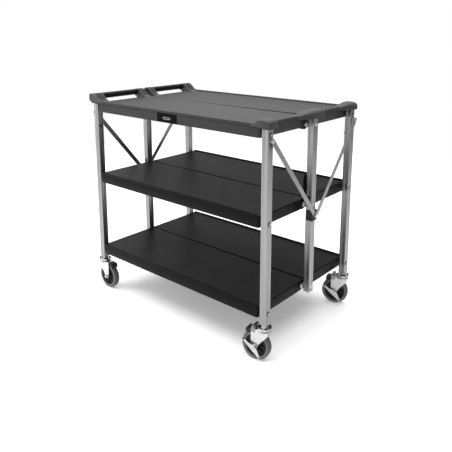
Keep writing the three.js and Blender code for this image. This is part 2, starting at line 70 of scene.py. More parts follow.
class Look:
    """A procedural material: a Principled shader and a few noise layers that feed it."""

    def __init__(self, name, metallic=0.0, specular=0.5):
        self.material = bpy.data.materials.new(name)
        self.material.use_nodes = True
        self.tree = self.material.node_tree
        self.shader = self.tree.nodes["Principled BSDF"]
        self.shader.inputs["Metallic"].default_value = metallic
        self.shader.inputs["Specular IOR Level"].default_value = specular
        self.coord = self.add("ShaderNodeTexCoord").outputs["Object"]
        self.height = None

    def add(self, kind):
        return self.tree.nodes.new(kind)

    def join(self, source, target):
        self.tree.links.new(source, target)

    def noise(self, scale, detail=3.0, stretch=(1, 1, 1)):
        mapping = self.add("ShaderNodeMapping")
        mapping.inputs["Scale"].default_value = stretch
        self.join(self.coord, mapping.inputs["Vector"])
        tex = self.add("ShaderNodeTexNoise")
        tex.inputs["Scale"].default_value = scale
        tex.inputs["Detail"].default_value = detail
        self.join(mapping.outputs["Vector"], tex.inputs["Vector"])
        return tex.outputs["Fac"]

    def remap(self, value, low, high, start=0.3, stop=0.7):
        node = self.add("ShaderNodeMapRange")
        node.inputs["From Min"].default_value = start
        node.inputs["From Max"].default_value = stop
        node.inputs["To Min"].default_value = low
        node.inputs["To Max"].default_value = high
        self.join(value, node.inputs["Value"])
        return node.outputs["Result"]

    def math(self, kind, a, b):
        node = self.add("ShaderNodeMath")
        node.operation = kind
        for socket, value in zip(node.inputs, (a, b)):
            if isinstance(value, (int, float)):
                socket.default_value = value
            else:
                self.join(value, socket)
        return node.outputs[0]

    def mix(self, factor, low, high):
        node = self.add("ShaderNodeMix")
        node.data_type = "RGBA"
        self.join(factor, node.inputs["Factor"])
        for socket, value in ((node.inputs[6], low), (node.inputs[7], high)):
            if isinstance(value, tuple):
                socket.default_value = (*value, 1.0)
            else:
                self.join(value, socket)
        return node.outputs[2]

    def edges(self, radius):
        """1 on edges sharper than the radius, 0 on flat faces."""
        bevel = self.add("ShaderNodeBevel")
        bevel.samples = 4
        bevel.inputs["Radius"].default_value = radius
        dot = self.add("ShaderNodeVectorMath")
        dot.operation = "DOT_PRODUCT"
        self.join(bevel.outputs["Normal"], dot.inputs[0])
        self.join(self.add("ShaderNodeNewGeometry").outputs["Normal"], dot.inputs[1])
        return self.remap(dot.outputs["Value"], 1.0, 0.0, 0.82, 0.995)

    def bump(self, height, strength, distance):
        node = self.add("ShaderNodeBump")
        node.inputs["Strength"].default_value = strength
        node.inputs["Distance"].default_value = distance
        self.join(height, node.inputs["Height"])
        if self.height:
            self.join(self.height, node.inputs["Normal"])
        self.height = node.outputs["Normal"]
        self.join(self.height, self.shader.inputs["Normal"])

    def colour(self, value):
        self.join(value, self.shader.inputs["Base Color"])

    def roughness(self, value):
        self.join(value, self.shader.inputs["Roughness"])


def grey(value, tint=0.0):
    return (value * (1 - tint), value, value * (1 + tint))


def plastic(name, base, rough, grain, edge=1.8, specular=0.5):
    look = Look(name, specular=specular)
    cloud = look.remap(look.noise(30.0, 6.0), 0.0, 1.0)
    body = look.mix(cloud, grey(base * 0.94, 0.02), grey(base * 1.06, 0.02))
    # Lighter colour on sharp edges: partly wear, partly a painted highlight. edge sets how much lighter,
    # highest on the top shelf and its mounds and arms.
    edges = look.edges(0.0016)
    edge_wear_and_highlight = look.math("MULTIPLY", edges, look.remap(look.noise(60.0, 5.0), 0.25, 1.0))
    look.colour(look.mix(edge_wear_and_highlight, body, grey(base * edge, 0.01)))
    fine = look.noise(grain, 2.0)
    smear = look.remap(look.noise(26.0, 6.0), rough - 0.02, rough + 0.02)
    look.roughness(look.math("ADD", smear, look.remap(fine, -0.03, 0.03)))
    look.bump(fine, 0.22, 0.0004)
    look.bump(look.noise(2.5, 1.0), 0.02, 0.004)
    return look.material


def metal(name, base, rough, along, lines=520.0, wave=0.1, spots=0.0):
    """along: how the drawn or brushed lines run, as the noise's stretch."""
    look = Look(name, metallic=1.0)
    drawn = look.noise(lines, 3.0, along)
    broad = look.noise(7.0, 3.0)
    body = look.mix(look.remap(broad, 0.0, 1.0), grey(base * 0.93, 0.006), grey(base * 1.05, 0.006))
    tone = look.mix(look.remap(drawn, 0.0, 0.35), body, grey(base * 0.8, 0.01))
    if spots:
        stain = look.remap(look.noise(38.0, 4.0), 0.0, spots, 0.52, 0.72)
        tone = look.mix(stain, tone, grey(base * 0.7, 0.01))
    # Lighter colour on sharp edges: partly wear, partly a painted highlight.
    look.colour(look.mix(look.edges(0.0009), tone, grey(min(base * 1.3, 0.97), 0.004)))
    spread = look.remap(drawn, rough - 0.06, rough + 0.09)
    look.roughness(look.math("ADD", spread, look.remap(broad, -0.03, wave * 0.5)))
    look.bump(drawn, 0.12, 0.00012)
    return look.material


def rubber(name, base, rough):
    look = Look(name, specular=0.4)
    cloud = look.remap(look.noise(24.0, 5.0), 0.0, 1.0)
    body = look.mix(cloud, grey(base * 0.85, 0.01), grey(base * 1.15, 0.01))
    # Lighter colour on sharp edges: partly wear, partly a painted highlight.
    look.colour(look.mix(look.edges(0.002), body, grey(base * 1.35, 0.01)))
    fine = look.noise(700.0, 3.0)
    look.roughness(look.remap(fine, rough - 0.08, rough + 0.08))
    look.bump(fine, 0.25, 0.0004)
    return look.material


ALONG_Z = (1, 1, 0.012)
LOOKS = {
    # top and part are lighter than shelf. This is partly the top shelf's own tone and partly painted light
    # for the brighter light on the top shelf and its mounds and arms. The lower shelves' darker shelf
    # plastic partly paints their shade.
    "top": plastic("top_shelf_plastic", 0.034, 0.5, 900.0, edge=3.5, specular=0.12),
    "shelf": plastic("shelf_plastic", 0.004, 0.47, 900.0, specular=0.075),
    "part": plastic("moulded_plastic", 0.044, 0.42, 900.0, edge=3.0, specular=0.2),
    "rib": plastic("rib_plastic", 0.016, 0.56, 900.0, specular=0.2),
    "grip": plastic("grip_plastic", 0.006, 0.42, 1100.0, specular=0.2),
    "badge": plastic("badge_plastic", 0.004, 0.55, 1100.0, specular=0.03),
    "hub": plastic("hub_plastic", 0.012, 0.5, 900.0, specular=0.25),
    "leg": metal("drawn_aluminium", 0.29, 0.38, ALONG_Z),
    "brace": metal("brace_steel", 0.27, 0.38, (1, 0.2, 0.2), lines=300.0, wave=0.12),
    "zinc": metal("bright_zinc", 0.6, 0.3, (1, 1, 1), lines=160.0, wave=0.16, spots=0.3),
    "tyre": rubber("grey_rubber", 0.075, 0.66),
    # tyre_side is a lighter copy of the tyre's rubber: a painted highlight on the tyres' side bands.
    "tyre_side": rubber("grey_rubber_side_highlight", 0.16, 0.58),
    "mark": plastic("pale_print", 0.34, 0.45, 900.0, edge=1.0),
}

# ---------- shape making ----------


def turned(axis, u, v, w):
    """A point at w along the axis and (u, v) across it."""
    return {"x": (w, u, v), "y": (u, w, v), "z": (u, v, w)}[axis]


def arc(cx, cy, radius, start, end, steps):
    """Points on a circle between two angles in degrees."""
    angles = [math.radians(start + (end - start) * i / steps) for i in range(steps + 1)]
    return [(cx + radius * math.cos(a), cy + radius * math.sin(a)) for a in angles]


def bezier(p0, p1, p2, p3, steps):
    """Points along a cubic curve, without its first one."""
    points = []
    for i in range(1, steps + 1):
        t = i / steps
        s = 1 - t
        points.append(tuple(
            s * s * s * a + 3 * s * s * t * b + 3 * s * t * t * c + t * t * t * d
            for a, b, c, d in zip(p0, p1, p2, p3)
        ))
    return points


def rounded(u0, u1, v0, v1, radius, steps=5):
    """A rectangle with rounded corners."""
    corners = ((u1, v0, -90), (u1, v1, 0), (u0, v1, 90), (u0, v0, 180))
    points = []
    for u, v, start in corners:
        cu = u - radius if u == u1 else u + radius
        cv = v - radius if v == v1 else v + radius
        points += arc(cu, cv, radius, start, start + 90, steps)
    return points


class Shape:
    """A mesh under construction."""

    def __init__(self):
        self.bm = bmesh.new()

    def loft(self, rings, loop=False):
        """A skin over rings of equal length, closed by flat ends or, as a loop, on itself."""
        rows = [[self.bm.verts.new(p) for p in ring] for ring in rings]
        pairs = list(zip(rows, rows[1:]))
        if loop:
            pairs.append((rows[-1], rows[0]))
        for low, high in pairs:
            for i in range(len(low)):
                j = (i + 1) % len(low)
                self.bm.faces.new((low[i], low[j], high[j], high[i]))
        if not loop:
            self.bm.faces.new(rows[0][::-1])
            self.bm.faces.new(rows[-1])
        return [v for row in rows for v in row]

    def prism(self, axis, outline, low, high):
        return self.loft([[turned(axis, u, v, w) for u, v in outline] for w in (low, high)])

    def box(self, x0, x1, y0, y1, z0, z1):
        return self.prism("z", [(x0, y0), (x1, y0), (x1, y1), (x0, y1)], z0, z1)

    def lathe(self, axis, centre, profile, steps=32):
        """profile rows are (radius, place along the axis); a radius of 0 closes an end."""
        u0, v0 = centre
        rows = []
        for radius, w in profile:
            count = steps if radius > 1e-6 else 1
            rows.append([
                self.bm.verts.new(turned(axis, u0 + radius * math.cos(a), v0 + radius * math.sin(a), w))
                for a in (2 * math.pi * i / count for i in range(count))
            ])
        closed = profile[0][0] > 1e-6 and profile[-1][0] > 1e-6
        pairs = list(zip(rows, rows[1:])) + ([(rows[-1], rows[0])] if closed else [])
        for a, b in pairs:
            for i in range(steps):
                j = (i + 1) % steps
                corners = [a[i % len(a)], a[j % len(a)], b[j % len(b)], b[i % len(b)]]
                unique = list(dict.fromkeys(corners))
                if len(unique) > 2:
                    self.bm.faces.new(unique)
        return [v for row in rows for v in row]

    def bolt(self, axis, centre, face, out, radius, height, socket=0.42, washer=0.0):
        """A domed head standing on a face, towards +1 or -1, with a round socket."""
        r, h = radius, height
        rows = [(0, h * 0.45), (r * socket, h * 0.45), (r * socket * 1.06, h * 0.98), (r * 0.62, h)]
        rows += [(r * 0.84, h * 0.84), (r * 0.96, h * 0.55), (r, h * 0.2), (r, -0.6), (0, -0.6)]
        self.lathe(axis, centre, [(a, face + out * (b + washer)) for a, b in rows], 24)
        if washer:
            ring = [(r * 0.5, -0.4), (r * 1.45, -0.4), (r * 1.45, washer * 0.7)]
            ring += [(r * 1.3, washer), (r * 0.5, washer)]
            self.lathe(axis, centre, [(a, face + out * b) for a, b in ring], 24)

    def nut(self, axis, centre, face, out, across, height, stud=0.0):
        """A hexagon nut on a face. stud is the radius of a bolt's end that stands out of it."""
        circle = across / math.sqrt(3)
        hexagon = arc(centre[0], centre[1], circle, 0, 300, 5)
        small = arc(centre[0], centre[1], circle * 0.9, 0, 300, 5)
        places = ((small, 0), (hexagon, 0.8), (hexagon, height - 1.0), (small, height))
        self.loft([[turned(axis, u, v, face + out * w) for u, v in ring] for ring, w in places])
        if stud:
            rows = [(0, -0.5), (stud, -0.5), (stud, 2.2), (stud * 0.8, 3), (0, 3)]
            self.lathe(axis, centre, [(r, face + out * (height + w)) for r, w in rows], 20)

    def turn(self, verts, matrix):
        bmesh.ops.transform(self.bm, matrix=matrix, verts=verts)

    def mirror(self, sx, sy):
        for v in self.bm.verts:
            v.co.x *= sx
            v.co.y *= sy
        return self

    def placed(self, yaw, x, y):
        """Turned about Z by yaw degrees, then moved."""
        move = Matrix.Translation((x, y, 0)) @ Matrix.Rotation(math.radians(yaw), 4, "Z")
        bmesh.ops.transform(self.bm, matrix=move, verts=self.bm.verts[:])
        return self

    def piece(self, name, body, look, *nodes, bevel=0.0, segments=2, angle=40, sharp=38):
        """Ends the drawing: an object in the shared frame that rides on a body and stands in for nodes."""
        bmesh.ops.remove_doubles(self.bm, verts=self.bm.verts[:], dist=0.004)
        bmesh.ops.dissolve_degenerate(self.bm, edges=self.bm.edges[:], dist=0.002)
        bmesh.ops.recalc_face_normals(self.bm, faces=self.bm.faces[:])
        for v in self.bm.verts:
            v.co = (v.co + SHIFT) / MM_PER_METRE
        mesh = bpy.data.meshes.new(name)
        self.bm.to_mesh(mesh)
        self.bm.free()
        for polygon in mesh.polygons:
            polygon.use_smooth = True
        obj = bpy.data.objects.new(name, mesh)
        bpy.context.collection.objects.link(obj)
        if bevel:
            rounding = obj.modifiers.new("rounding", "BEVEL")
            rounding.width = bevel / MM_PER_METRE
            rounding.segments = segments
            rounding.limit_method = "ANGLE"
            rounding.angle_limit = math.radians(angle)
            rounding.harden_normals = True
        mesh.set_sharp_from_angle(angle=math.radians(sharp))
        obj.data.materials.append(LOOKS[look])
        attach(obj, body)
        if nodes:
            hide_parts(*nodes)


def draw(make, *values):
    """A new shape with one thing drawn in it."""
    shape = Shape()
    make(shape, *values)
    return shape


# ---------- shelves: right-hand halves, rear end towards -X ----------

# half the shelf's length and width, half the gap between its halves, corner radius, depth of the wall
LENGTH, WIDTH, SEAM, CORNER, DEPTH = 507.0, 343.0, 0.6, 14.0, 54.0
# top of the rim and height of the pins
LEVELS = {"top": (993.0, 953.0), "middle": (630.0, 597.0), "bottom": (244.0, 214.0)}
PIVOTS = [pivot for _, pivot in LEVELS.values()]
# distance of the pins from the middle of the cart
OUTER_PIN, INNER_PIN = 321.5, 25.0
# how far the rim rounds down at these places next to the seam
SEAM_FALL = {-5.6: 0.5, -3.4: 1.8, -SEAM: 5.0}
RIB_ROWS, RIB_SPACING, RIB_HALF = (-96, -176, -256), 125.0, 1.5


def rim_profile(crest):
    """The wall and rim of a shelf as (distance in from the edge, height), from under the deck
    round the outside to the deck's top: for a beaded side, the smooth front rail and an open end."""
    low, floor = crest - DEPTH, crest - 7.0
    under = [(13.0, floor - 4), (7.2, floor - 4), (6.0, floor - 5.5), (6.0, low + 1), (5.4, low)]
    lip = [
        (8.4, crest - 0.1), (9.7, crest - 0.9), (10.4, crest - 2.4), (11.0, floor + 1.6),
        (11.6, floor + 0.5), (13.0, floor),
    ]
    beaded = [
        (2.6, low), (2.0, low + 1), (2.0, crest - 15), (2.3, crest - 14.2), (3.4, crest - 13.6),
        (3.4, crest - 12.8), (0.8, crest - 12), (0.2, crest - 11), (0, crest - 9.4), (0, crest - 4.2),
        (0.5, crest - 2.2), (1.8, crest - 0.7), (3.8, crest),
    ]
    smooth = [
        (3.0, low), (1.4, low + 2), (0.5, crest - 22), (0.3, crest - 19), (0.1, crest - 16),
        (0, crest - 13.5), (0, crest - 11.4), (0.4, crest - 9), (1.2, crest - 6.8), (2.4, crest - 4.6),
        (4.0, crest - 2.6), (6.0, crest - 1.0), (8.0, crest - 0.1),
    ]
    plain = [
        (3.0, low), (1.6, low + 2), (0.9, crest - 22), (0.6, crest - 19), (0.3, crest - 16),
        (0, crest - 14.5), (0, crest - 11.6), (0.2, crest - 10), (0.7, crest - 8.8), (1.5, crest - 7.8),
        (2.8, crest - 7.2), (4.4, floor), (6.6, floor),
    ]
    flat = [(d, floor) for d in (8.4, 9.7, 10.4, 11.0, 11.6, 13.0)]
    return under + beaded + lip, under + smooth + lip, under + plain + flat


def blended(profiles, weights):
    """One profile out of several, each taken by its weight."""
    return [
        tuple(sum(w * v for w, v in zip(weights, values)) for values in zip(*points))
        for points in zip(*profiles)
    ]


def seam_cut(y, pivot, low):
    """How far down a shelf's end wall may reach at y, so that the two halves turn clear."""
    reach = INNER_PIN - SEAM
    if y < -INNER_PIN:
        return low
    return max(low, pivot - math.sqrt(max(reach ** 2 - (y + INNER_PIN) ** 2, 0)))


# weights for the three profiles
BEADED, SMOOTH, OPEN = (1, 0, 0), (0, 1, 0), (0, 0, 1)


def shelf_path(front):
    """Points round a right-hand half from the rear seam to the front seam: place, way out, rim."""
    near_seam = [-25.0, -19.0, -13.0, -8.0, -5.6, -3.4, -SEAM]
    path = [(-LENGTH, y, -1.0, 0.0, OPEN) for y in reversed(near_seam)]
    corners = ((-LENGTH + CORNER, 180, OPEN, BEADED), (LENGTH - CORNER, 270, BEADED, front))
    for cx, start, before, after in corners:
        for i in range(9):
            a = math.radians(start + 90 * i / 8)
            t = i / 8
            rim = tuple(p + (q - p) * t for p, q in zip(before, after))
            path.append((cx + CORNER * math.cos(a), -WIDTH + CORNER + CORNER * math.sin(a),
                         math.cos(a), math.sin(a), rim))
    return path + [(LENGTH, y, 1.0, 0.0, front) for y in near_seam]


def shelf_half(shape, crest, pivot, front):
    """The shell of one half: wall, rim and deck. front is the rim's profile at the front end."""
    low = crest - DEPTH
    profiles = rim_profile(crest)
    rings = []
    for x, y, nx, ny, rim in shelf_path(front):
        floor_z = seam_cut(y, pivot, low)
        fall = SEAM_FALL.get(y, 0.0)
        rings.append([
            shape.bm.verts.new((x - nx * d, y - ny * d, max(z - (fall if z > crest - 10 else 0), floor_z)))
            for d, z in blended(profiles, rim)
        ])
    for a, b in zip(rings, rings[1:]):
        for i in range(len(a) - 1):
            shape.bm.faces.new((a[i], a[i + 1], b[i + 1], b[i]))
    shape.bm.faces.new([ring[-1] for ring in rings[1:-1]])
    shape.bm.faces.new((rings[0][-1], rings[1][-1], rings[-2][-1], rings[-1][-1]))
    shape.bm.faces.new([ring[0] for ring in reversed(rings)])
    shape.bm.faces.new(rings[0][::-1] + rings[-1])


def shelf_underside(shape, crest, pivot):
    """The rounded wall along the seam, the ribs under the deck and the bosses round the pins."""
    low, deck = crest - DEPTH, crest - 10.6
    reach = INNER_PIN - SEAM
    outer = [(-SEAM, deck), (-SEAM, pivot)] + arc(-INNER_PIN, pivot, reach, -6, -90, 10)
    inner = arc(-INNER_PIN, pivot, reach - 4, -90, -6, 10) + [(-SEAM - 4, pivot), (-SEAM - 4, deck)]
    shape.prism("x", outer + inner, -LENGTH + 4, LENGTH - 4)
    for y in RIB_ROWS:
        shape.box(-LENGTH + 5, LENGTH - 5, y - RIB_HALF, y + RIB_HALF, low + 14, deck)
    for i in range(-3, 4):
        x = i * RIB_SPACING
        shape.box(x - RIB_HALF, x + RIB_HALF, -WIDTH + 5, -INNER_PIN - 2, low + 14, deck)
    for end in (-1, 1):
        for y in (-OUTER_PIN, -INNER_PIN):
            a, b = sorted((end * (LENGTH - 5.5), end * (LENGTH - 13)))
            shape.lathe("x", (y, pivot), [(6.2, a), (10.5, a), (10.5, b), (6.2, b)], 24)


def swell(x, low, high, x0, x1):
    """A smooth rise from low at x0 to high at x1."""
    t = min(max((x - x0) / (x1 - x0), 0), 1)
    return low + (high - low) * (3 * t * t - 2 * t * t * t)


def mound(shape, y_full, y_fade, fade_width, outer_round):
    """A raised hood over a leg on the front end. It is full from y_full to y_fade and dies away
    beyond y_fade; outer_round says that its y_full side is a rounded outer corner."""
    bottom, top, foot, nose = 979.0, 1012.2, 509, 556
    xs = [446, 456, 464, 471, 478, 485, 491, 497, 502, 508, 516, 526, 536, 543, 548.5, 552.5, 555, 556]
    drop = [0, 0, 0, 0, 0, 0, 0, 0, 0, 0, 0, 0.3, 1.2, 3.0, 5.8, 9.6, 14.5, 20]
    direction = 1 if y_fade > y_full else -1
    rows = []
    if outer_round:
        insets = ((0, 6.0), (0.7, 3.8), (2.0, 1.9), (4.2, 0.6), (7, 0))
        rows += [(y_full + direction * d, inset, 1.0) for d, inset in insets]
    else:
        rows += [(y_full, 0, 1.0)]
    rows += [(y_fade, 0, 1.0)]
    fades = (0.15, 0.3, 0.45, 0.6, 0.75, 0.9, 1.0)
    rows += [(y_fade + direction * fade_width * t, 0, 1 - (3 * t * t - 2 * t ** 3)) for t in fades]
    rings = []
    for y, inset, share in rows:
        front = nose - inset * 1.1 if share == 1.0 else foot + (nose - foot) * share ** 0.6
        crest = []
        for x, fall in zip(xs, drop):
            ground = swell(x, 985.6, 992.4, 488, 500)
            z = ground + share * (swell(x, 985.6, top, 456, 508) - fall - ground)
            if x > 508:
                z = min(z, top - fall)
            crest.append((min(x, front), y, min(z, max(z - inset, ground - 1))))
        base = [(front, y, bottom), (500, y, bottom), (500, y, 984.0), (446, y, 984.0)]
        rings.append(crest + base)
    shape.loft(rings)


def mounds(shape):
    mound(shape, -346.0, -300.0, 44.0, True)
    mound(shape, -SEAM, -44.0, 46.0, False)


# the handle arms' sides, and the curve down their backs
OUTER_ARM, INNER_ARM = (-346, -288), (-53, -17)
ARM_BACK = ((-545, 1026), (-521, 1026), (-512, 994), (-472, 987.6))


def arm_outline():
    points = [(-562.5, 987), (-568, 992.5), (-568, 1012)]
    points += bezier((-568, 1012), (-568, 1021.5), (-563.5, 1026), (-554, 1026), 6)
    points += [ARM_BACK[0]] + bezier(*ARM_BACK, 16)
    points += [(-462, 986.2), (-462, 984.5), (-500, 984), (-506, 979)]
    points += [(-549, 979), (-552, 982), (-552, 987)]
    return points


def handle_arms(shape):
    """The two arms of one half, and half of the link behind the inner one."""
    for y0, y1 in (OUTER_ARM, INNER_ARM):
        shape.prism("y", arm_outline(), y0, y1)
    shape.box(-566.5, -547, -18, -SEAM, 990, 1021)


def arm_shade_plates(shape):
    """Dark plates set into the tops of the arms, inside their edges and standing just proud of them. Their
    dark plastic paints the shade that the tops of the arms lie in.
    """
    for y0, y1 in ((-334, -296), (-47, -23)):
        steps = bezier(*ARM_BACK, 16)[:13]
        upper = [(x, z + 0.5) for x, z in steps]
        lower = [(x - 1, z - 2) for x, z in reversed(steps)]
        shape.prism("y", upper + lower, y0, y1)


def grip_bar(shape):
    middle_x, middle_z, half = -553, 1010, 14
    section = rounded(-567, -539, 995, 1025, 12, 7)
    rings = []
    for y, inset in ((-287.6, 2.0), (-286.8, 0.6), (-284, 0), (-57, 0), (-54.2, 0.6), (-53.4, 2.0)):
        scale = 1 - inset / half
        rings.append([
            (middle_x + (x - middle_x) * scale, y, middle_z + (z - middle_z) * scale)
            for x, z in section
        ])
    shape.loft(rings)


def badge_plate(shape):
    plate = arc(46.5, 974.5, 7.5, 0, 90, 6) + arc(-61.5, 974.5, 7.5, 90, 180, 6)
    plate += [(-69, 940.5), (54, 940.5)]
    shape.loft([[(x, y, z) for x, z in plate] for y in (-341.2, -343.1)])


def badge_ring(shape):
    around = rounded(-30, 16, 954.5, 964.5, 4.9, 6)
    within = rounded(-27.8, 13.8, 956.7, 962.3, 2.7, 6)
    places = ((around, -342.6), (around, -343.6), (within, -343.6), (within, -342.6))
    shape.loft([[(x, y, z) for x, z in ring] for ring, y in places], loop=True)


for side, sy in SIDES.items():
    for level, (crest, pivot) in LEVELS.items():
        look, front = ("top", SMOOTH) if level == "top" else ("shelf", OPEN)
        body = f"{side}_{level}"
        shell = draw(shelf_half, crest, pivot, front).mirror(1, -sy)
        shell.piece(f"{level}_shelf_shell_{side}", body, look, f"{level}_shelf_{side}", sharp=50)
        ribs = draw(shelf_underside, crest, pivot).mirror(1, -sy)
        ribs.piece(f"{level}_shelf_ribs_{side}", body, "rib")
    body = f"{side}_top"
    draw(mounds).mirror(1, -sy).piece(f"top_shelf_mounds_{side}", body, "part", sharp=65)
    arms = draw(handle_arms).mirror(1, -sy)
    arms.piece(f"handle_arms_{side}", body, "part", bevel=3.0, segments=4, angle=55)
    # dark plates on the arms' tops: painted shade
    draw(arm_shade_plates).mirror(1, -sy).piece(f"arm_shade_plates_{side}", body, "rib", bevel=0.6)
    draw(grip_bar).mirror(1, -sy).piece(f"grip_bar_{side}", body, "grip", f"handle_grip_{side}")

draw(badge_plate).piece("badge_backing", "right_top", "badge", "badge_plate", bevel=0.5)
draw(badge_ring).piece("badge_ring", "right_top", "mark")

# ---------- legs ----------


def leg_section(width, depth):
    """A square tube with rounded corners and one very shallow flute along each face."""
    points = []
    for quarter in range(4):
        w, d = (width / 2, depth / 2) if quarter % 2 == 0 else (depth / 2, width / 2)
        corner = arc(w - 2.4, d - 2.4, 2.4, 0, 90, 5)
        slot = [(4.8, d), (3.9, d - 0.45), (-3.9, d - 0.45), (-4.8, d)]
        a = math.radians(90 * quarter)
        for u, v in corner + slot:
            points.append((u * math.cos(a) - v * math.sin(a), u * math.sin(a) + v * math.cos(a)))
    return points


# how far the legs' axes stand from the middle of the cart
LEG_X, CENTRE_X = 528.5, 529.5
# the tubes' sides along and across the cart, and their bottom and top
LEG_TUBE, CENTRE_TUBE = (33, 31), (31, 33)
LEG_SPAN, CENTRE_SPAN = (162, 975), (190.5, 976)
KNOB_HEIGHT = 863


def tube(shape, width, depth, x, y, low, high):
    section = leg_section(width, depth)
    rings = []
    for z, scale in ((low, 0.965), (low + 0.5, 1.0), (high - 0.5, 1.0), (high, 0.965)):
        rings.append([(x + u * scale, y + v * scale, z) for u, v in section])
    shape.loft(rings)


def shelf_pin(shape, spot, reach):
    """A pin through a shelf's end wall, with a nut on its inner end."""
    shape.lathe("x", spot, [(0, 495), (4.2, 495), (5, 495.8), (5, reach), (0, reach)], 20)
    shape.nut("x", spot, 500.4, -1, 14, 5)


def leg_bolts(shape):
    """The shelf pivots of a corner leg: head outside, spacer ring and pin inside."""
    for pivot in PIVOTS:
        spot = (-OUTER_PIN, pivot)
        shape.bolt("x", spot, 546.2, 1, 5.6, 3.2)
        shape.lathe("x", spot, [(5, 507.6), (8.4, 507.6), (9, 508.2), (9, 512.4), (5, 512.4)], 24)
        shelf_pin(shape, spot, 513)


# Dark rings round the pivot bolts' heads, standing on the leg's face: they paint the shadow gap round each
# head.
def bolt_shadow_rings(shape):
    rows = [(3, 544.6), (9.4, 544.6), (9.4, 546.3), (8.6, 547), (3, 546.6)]
    for pivot in PIVOTS:
        shape.lathe("x", (-OUTER_PIN, pivot), rows, 28)


def stop_knob(shape):
    rows = [(0, 511.8), (5.6, 511.8), (5.9, 510.4), (5.9, 507.6), (5.2, 505.2), (3.6, 503.6)]
    shape.lathe("x", (-OUTER_PIN, KNOB_HEIGHT), rows + [(1.8, 503.1), (0, 503.0)], 28)


def centre_foot(shape):
    """The cap under a centre leg and the plug it is held by."""
    tube(shape, 31.8, 33.8, CENTRE_X, 0, 187, 190.6)
    shape.box(521.2, CENTRE_X + 12.5, -13.5, 13.5, 187.2, 200)


# A thin dark plate on the centre leg's face: it paints the shade inside the latch pocket.
def latch_shade_plate(shape):
    outline = rounded(CENTRE_X - 8.5, CENTRE_X + 7.5, 618, 636, 3, 4)
    shape.prism("y", outline, -16.65, -15.2)


def hinge_plates(shape):
    """Per shelf: the bolt in the centre leg, the plate behind the leg and the pins of both halves."""
    for pivot in PIVOTS:
        shape.bolt("x", (0, pivot), 545, 1, 6.2, 2.9, washer=0.5)
        outline = arc(INNER_PIN, pivot, 13, -90, 90, 12) + arc(-INNER_PIN, pivot, 13, 90, 270, 12)
        shape.prism("x", outline, 508.6, 513.4)
        for y in (-INNER_PIN, INNER_PIN):
            shape.bolt("x", (y, pivot), 513.2, 1, 8.0, 3.4, socket=0.3)
            shelf_pin(shape, (y, pivot), 509)


def pull_tab(shape):
    outline = [(-30, 641.5)]
    for y, z, start in ((16, 655, -90), (16, 717, 0), (-16, 717, 90)):
        outline += arc(y, z, 14, start, start + 90, 6)
    shape.prism("x", outline, 508.1, 513.4)


for side, sy in SIDES.items():
    for end, sx in ENDS.items():
        tag, body = f"{end}_{side}", f"{side}_frame"
        leg = draw(tube, *LEG_TUBE, LEG_X, -OUTER_PIN, *LEG_SPAN).mirror(sx, -sy)
        leg.piece(f"leg_tube_{tag}", body, "leg", f"leg_{tag}", sharp=30)
        draw(leg_bolts).mirror(sx, -sy).piece(f"leg_bolts_{tag}", body, "zinc")
        draw(bolt_shadow_rings).mirror(sx, -sy).piece(f"bolt_shadow_rings_{tag}", body, "hub")
        knob = draw(stop_knob).mirror(sx, -sy)
        knob.piece(f"stop_bumper_{tag}", body, "hub", f"stop_knob_{tag}")

for end, sx in ENDS.items():
    body = "centre_frame"
    leg = draw(tube, *CENTRE_TUBE, CENTRE_X, 0, *CENTRE_SPAN).mirror(sx, 1)
    leg.piece(f"centre_tube_{end}", body, "leg", f"centre_leg_{end}", sharp=30)
    draw(centre_foot).mirror(sx, 1).piece(f"centre_foot_{end}", body, "zinc")
    draw(latch_shade_plate).mirror(sx, 1).piece(f"latch_shade_plate_{end}", body, "hub")
    nodes = [f"hinge_plate_{level}_{end}" for level in LEVELS]
    draw(hinge_plates).mirror(sx, 1).piece(f"hinge_plates_{end}", body, "zinc", *nodes, bevel=0.5)

tab = draw(pull_tab)
tab.piece("pull_tab_plate", "centre_frame", "badge", "pull_tab_front", bevel=1.0, segments=3)

# ---------- braces and collars ----------

# (place across the cart, height) of a brace's two rivets
BRACE_TOP, BRACE_LOW = Vector((-OUTER_PIN, 930.0)), Vector((0.0, 549.0))
# each brace's inner face, so that the two of an end pass one another
PLANES = {"right": 553.8, "left": 557.3}
BRACE_THICKNESS, BRACE_ROUND = 3, 11


def brace_bar(shape, plane):
    along = BRACE_LOW - BRACE_TOP
    turn = math.degrees(math.atan2(along.y, along.x))
    outline = arc(*BRACE_TOP, BRACE_ROUND, turn + 90, turn + 270, 14)
    outline += arc(*BRACE_LOW, BRACE_ROUND, turn - 90, turn + 90, 14)
    shape.prism("x", outline, plane, plane + BRACE_THICKNESS)


def brace_rivets(shape, plane, outermost):
    """The upper rivet with its spacer and, on the outermost brace, the lower one."""
    rows = [(0, 545.6), (7, 545.6), (7, plane + 0.5), (0, plane + 0.5)]
    shape.lathe("x", tuple(BRACE_TOP), rows, 24)
    shape.bolt("x", tuple(BRACE_TOP), plane + BRACE_THICKNESS, 1, 7.2, 2.4, socket=0.3)
    if outermost:
        shape.bolt("x", tuple(BRACE_LOW), plane + BRACE_THICKNESS, 1, 8.2, 2.4, socket=0.3)


def collar(shape):
    """A sleeve round the centre leg, with a groove near its lower end."""
    # (height, how far the outside is drawn in there)
    rows = [(526, 1.8), (527, 0.6), (529, 0), (538, 0), (539, 0.8), (541, 0.8), (542, 0)]
    rows += [(569, 0), (571, 0.6), (572, 1.8)]
    outer = [
        [(x, y, z) for x, y in rounded(519 + inset, 553 - inset, -22.5 + inset, 22.5 - inset, 6, 6)]
        for z, inset in rows
    ]
    inner = [
        [(max(x, 520.6), y, z) for x, y in rounded(513.4, 549.6, -17.4, 17.4, 0.6, 6)]
        for z, _ in reversed(rows)
    ]
    shape.loft(outer + inner, loop=True)


